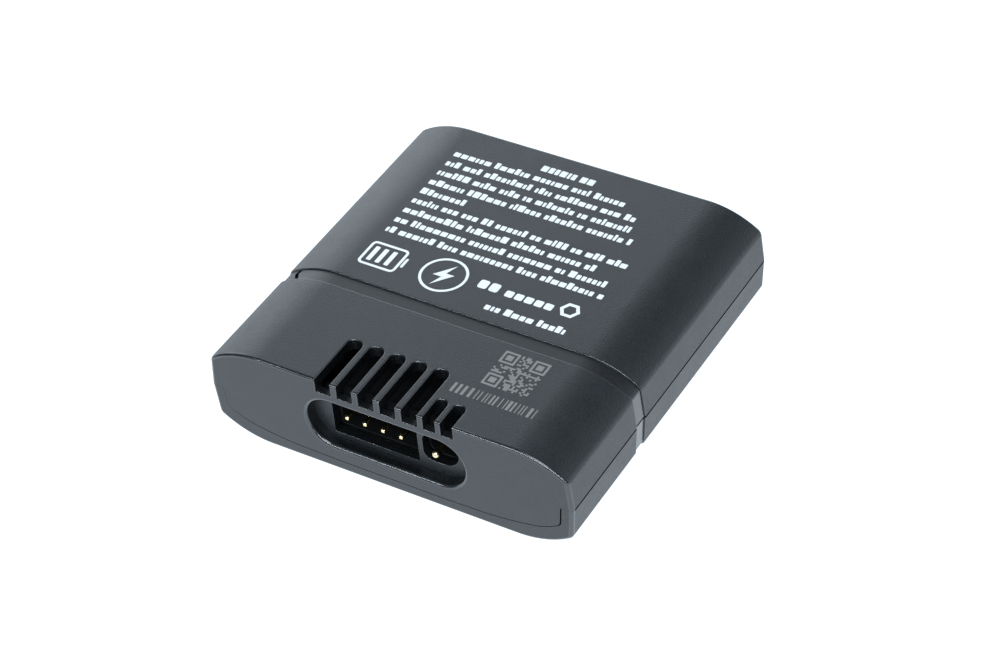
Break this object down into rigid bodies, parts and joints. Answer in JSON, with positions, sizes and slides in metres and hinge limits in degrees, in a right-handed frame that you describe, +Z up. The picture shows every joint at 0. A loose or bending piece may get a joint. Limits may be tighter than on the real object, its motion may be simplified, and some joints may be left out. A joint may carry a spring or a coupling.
{
  "type": "balance battery charger",
  "caption": "Flat pocket charger with a balance socket, round data contact, cooling slots, USB-C inlet, two-pole output and a sprung mode button.",
  "frame": {"origin": "centre of the case outline, on the surface it rests on", "axes": "+Z up through the thin direction, -Y towards the balance socket, +Y towards the USB-C inlet and output, X across the case"},
  "size_m": [0.0498, 0.049, 0.0138],
  "materials": {
    "case_plastic": "fine spark-eroded texture, low sheen",
    "connector_plastic": "smooth moulded nylon",
    "output_plastic": "satin moulded nylon",
    "gold_plate": "bright gold plating",
    "steel": "bright tinned steel",
    "circuit_board": "solder mask over glass laminate",
    "chip_plastic": "matte moulding compound",
    "ferrite": "pressed powder",
    "aluminium": "satin",
    "silicone_pad": "soft matte",
    "resistor_ceramic": "coated ceramic",
    "button_plastic": "satin",
    "light_pipe": "milky clear",
    "led_package": "moulded white body"
  },
  "bodies": {
    "case": {"case_upper": "case_plastic", "case_lower": "case_plastic", "balance_header": "connector_plastic", "balance_pin_1": "gold_plate", "balance_pin_2": "gold_plate", "balance_pin_3": "gold_plate", "balance_pin_4": "gold_plate", "data_contact_holder": "connector_plastic", "data_contact": "gold_plate", "output_connector_housing": "output_plastic", "output_contact_negative": "gold_plate", "output_contact_positive": "gold_plate", "usb_c_shell": "steel", "usb_c_insert": "connector_plastic", "main_board": "circuit_board", "board_screw_1": "steel", "board_screw_2": "steel", "board_screw_3": "steel", "board_screw_4": "steel", "power_inductor": "ferrite", "input_capacitor_1": "aluminium", "input_capacitor_2": "aluminium", "output_capacitor_1": "aluminium", "output_capacitor_2": "aluminium", "power_mosfet_1": "chip_plastic", "power_mosfet_2": "chip_plastic", "power_mosfet_3": "chip_plastic", "power_mosfet_4": "chip_plastic", "thermal_pad": "silicone_pad", "heat_sink": "aluminium", "output_switch": "chip_plastic", "charge_controller": "chip_plastic", "microcontroller": "chip_plastic", "usb_power_controller": "chip_plastic", "clock_crystal": "steel", "current_shunt": "resistor_ceramic", "balance_resistor_1": "resistor_ceramic", "balance_switch_1": "chip_plastic", "balance_resistor_2": "resistor_ceramic", "balance_switch_2": "chip_plastic", "balance_resistor_3": "resistor_ceramic", "balance_switch_3": "chip_plastic", "button_switch_body": "connector_plastic", "button_snap_dome": "steel", "cell_light_pipe_1": "light_pipe", "cell_led_1": "led_package", "cell_light_pipe_2": "light_pipe", "cell_led_2": "led_package", "cell_light_pipe_3": "light_pipe", "cell_led_3": "led_package", "cell_light_pipe_4": "light_pipe", "cell_led_4": "led_package", "status_light_pipe": "light_pipe", "status_led": "led_package"},
    "button": {"mode_button": "button_plastic", "button_switch_plunger": "connector_plastic"}
  },
  "joints": [
    {"name": "mode_button_press", "type": "slide", "parent": "case", "child": "button", "axis": [0, 0, 1], "range_m": [0, 0.00025], "stiffness_N_per_m": 4000, "springref_m": -0.00005, "deforming": ["button_snap_dome"]}
  ]
}
